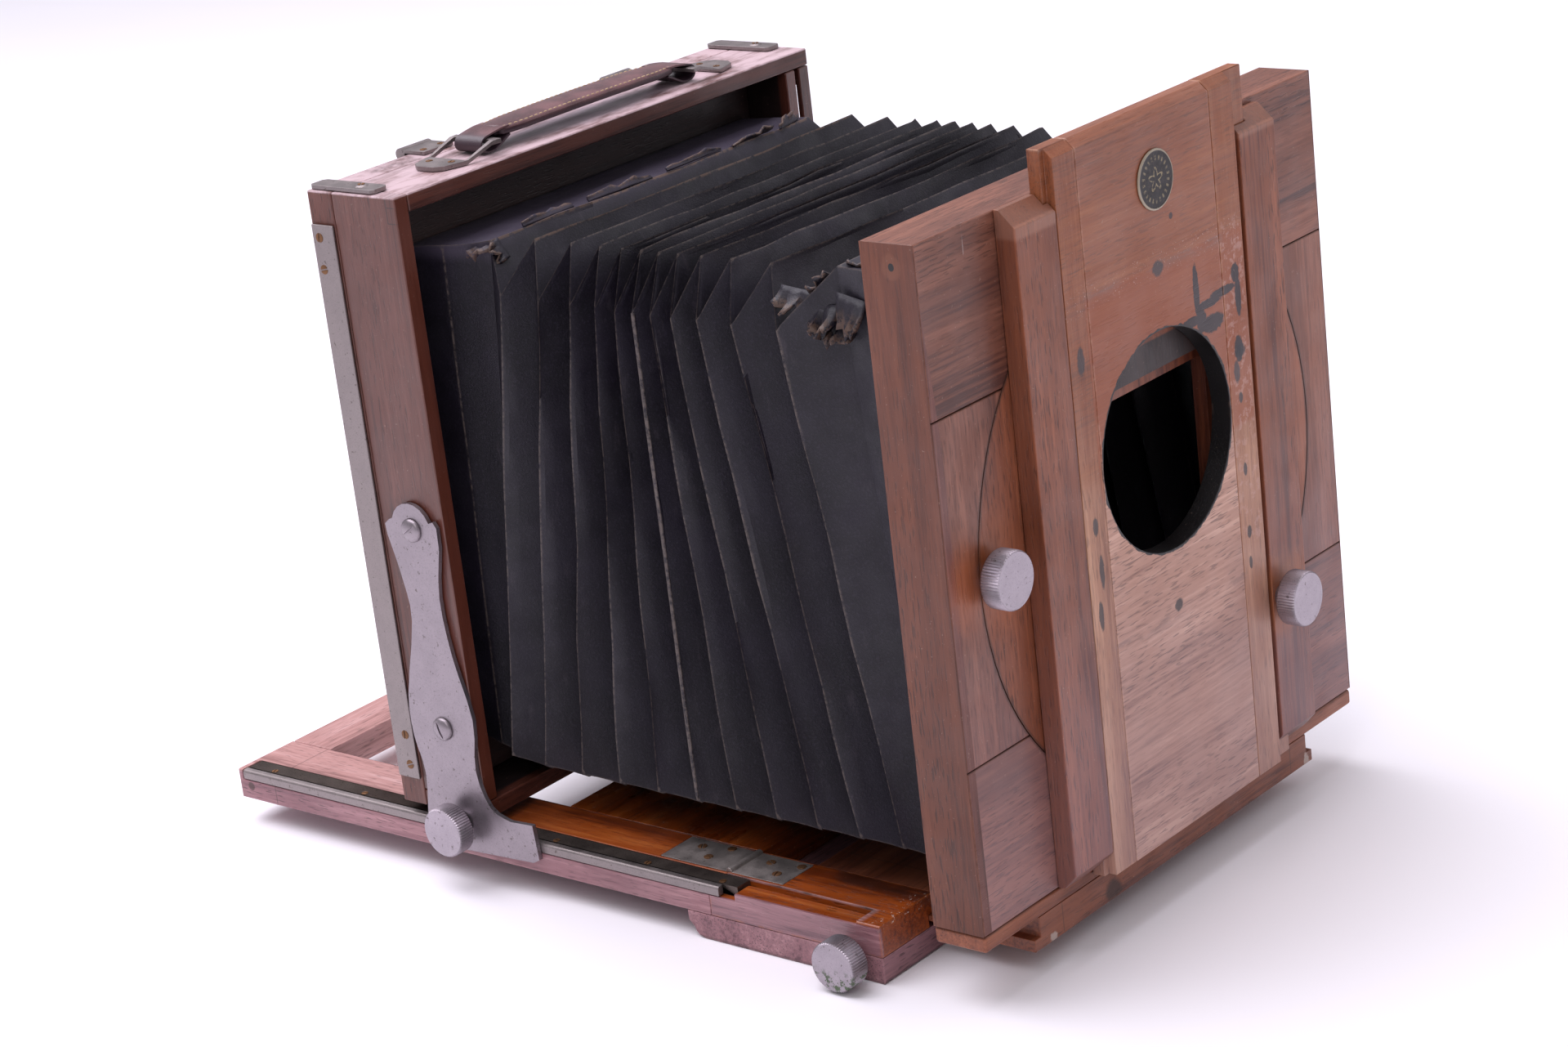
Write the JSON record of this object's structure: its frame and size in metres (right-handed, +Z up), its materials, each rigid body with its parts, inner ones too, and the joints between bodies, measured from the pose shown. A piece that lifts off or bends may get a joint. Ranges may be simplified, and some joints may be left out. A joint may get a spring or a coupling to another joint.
{
  "type": "wooden view camera",
  "caption": "Folding wooden view camera with pleated bellows, rack focusing, a turntable rising front and a hinged ground-glass back.",
  "frame": {"origin": "centre of the footprint, on the plane the camera's base stands on", "axes": "+X to the right of somebody who faces the lens panel, +Y from the lens panel to the ground glass, +Z up"},
  "size_m": [0.278, 0.4152, 0.3],
  "materials": {
    "wood_frame": "satin varnish",
    "wood_dark": "satin varnish, darkened",
    "wood_varnished": "glossy varnish",
    "wood_pale": "worn satin varnish",
    "nickel": "worn nickel plating",
    "rack_steel": "worn, dull",
    "brass": "dull",
    "bellows_cloth": "matt, worn folds",
    "handle_leather": "worn",
    "glass": "ground",
    "enamel": "gloss, pale rim"
  },
  "bodies": {
    "base": {"lower_board": "wood_dark", "tripod_bush": "brass", "bed_rail_left": "wood_varnished", "bed_rail_right": "wood_varnished", "tail_rail_left": "wood_frame", "tail_rail_right": "wood_frame", "tail_front_board": "wood_varnished", "tail_rear_board": "wood_frame", "rack_left": "rack_steel", "rack_right": "rack_steel", "guide_strip_left": "nickel", "guide_strip_right": "nickel", "hinge_left": "rack_steel", "hinge_right": "rack_steel"},
    "front_standard": {"extension_board": "wood_frame", "extension_rack_left": "rack_steel", "extension_rack_right": "rack_steel", "front_board_top": "wood_frame", "front_board_bottom": "wood_frame", "front_stile_left": "wood_frame", "front_stile_right": "wood_frame", "bottom_ledge": "wood_frame", "bellows_front_frame": "wood_dark", "bellows_front": "bellows_cloth"},
    "front_pinion": {"extension_pinion": "rack_steel", "extension_knob": "nickel"},
    "turntable": {"turntable_disc": "wood_frame", "front_rail_left": "wood_dark", "front_rail_right": "wood_dark"},
    "panel": {"panel_board": "wood_pale", "panel_stile_left": "wood_pale", "panel_stile_right": "wood_pale", "badge": "enamel"},
    "turntable_clamp": {"turntable_thumbscrew": "nickel"},
    "panel_clamp": {"panel_thumbscrew": "nickel"},
    "rear_standard": {"rear_top": "wood_frame", "rear_bottom": "wood_frame", "rear_left": "wood_frame", "rear_right": "wood_frame", "rear_right_slat": "wood_frame", "bellows_rear_frame": "wood_dark", "back_frame": "wood_frame", "edge_strip_left": "nickel", "edge_strip_right": "nickel", "bracket_left": "nickel", "bracket_right": "nickel", "handle_plate_left": "nickel", "handle_plate_right": "nickel", "screen_hinge_left": "nickel", "screen_hinge_right": "nickel", "bellows_rear": "bellows_cloth"},
    "rear_pinion": {"pinion_shaft": "rack_steel", "focus_knob_left": "nickel", "focus_knob_right": "nickel"},
    "screen": {"screen_frame": "wood_frame", "ground_glass": "glass"},
    "catch_left": {"catch_left": "nickel"},
    "catch_right": {"catch_right": "nickel"},
    "handle": {"handle": "handle_leather"}
  },
  "joints": [
    {"name": "front_extension_slide", "type": "slide", "parent": "base", "child": "front_standard", "axis": [0, -1, 0], "range_m": [-0.02, 0.03], "deforming": ["bellows_front"]},
    {"name": "front_pinion_turn", "type": "hinge", "parent": "base", "child": "front_pinion", "pos_m": [0, -0.12515, 0.0108], "axis": [1, 0, 0], "range_deg": [-400, 600]},
    {"name": "turntable_turn", "type": "hinge", "parent": "front_standard", "child": "turntable", "pos_m": [0, -0.18015, 0.155], "axis": [0, 1, 0], "range_deg": [0, 90]},
    {"name": "panel_rise", "type": "slide", "parent": "turntable", "child": "panel", "axis": [0, 0, 1], "range_m": [0, 0.03]},
    {"name": "turntable_clamp_turn", "type": "hinge", "parent": "turntable", "child": "turntable_clamp", "pos_m": [-0.1026, -0.18615, 0.1592], "axis": [0, 1, 0], "range_deg": [-90, 90]},
    {"name": "panel_clamp_turn", "type": "hinge", "parent": "turntable", "child": "panel_clamp", "pos_m": [0.066, -0.19515, 0.093], "axis": [0, 1, 0], "range_deg": [-90, 90]},
    {"name": "rear_focus_slide", "type": "slide", "parent": "base", "child": "rear_standard", "axis": [0, 1, 0], "range_m": [-0.06, 0.09], "deforming": ["bellows_rear"]},
    {"name": "rear_pinion_turn", "type": "hinge", "parent": "rear_standard", "child": "rear_pinion", "pos_m": [0, 0.07085, 0.0262], "axis": [1, 0, 0], "range_deg": [-1750, 1175]},
    {"name": "screen_swing", "type": "hinge", "parent": "rear_standard", "child": "screen", "pos_m": [0, 0.11145, 0.2821], "axis": [1, 0, 0], "range_deg": [0, 100]},
    {"name": "catch_left_turn", "type": "hinge", "parent": "rear_standard", "child": "catch_left", "pos_m": [-0.1178, 0.08255, 0.2825], "axis": [0, 0, 1], "range_deg": [0, 90]},
    {"name": "catch_right_turn", "type": "hinge", "parent": "rear_standard", "child": "catch_right", "pos_m": [0.1178, 0.08255, 0.2825], "axis": [0, 0, 1], "range_deg": [-90, 0]},
    {"name": "handle_lift", "type": "slide", "parent": "rear_standard", "child": "handle", "axis": [0, 0, 1], "range_m": [0, 0.003]}
  ],
  "couplings": [
    {"joint": "front_pinion_turn", "follows": "front_extension_slide", "rad_per_m": 333.33},
    {"joint": "rear_pinion_turn", "follows": "rear_focus_slide", "rad_per_m": -333.33}
  ]
}
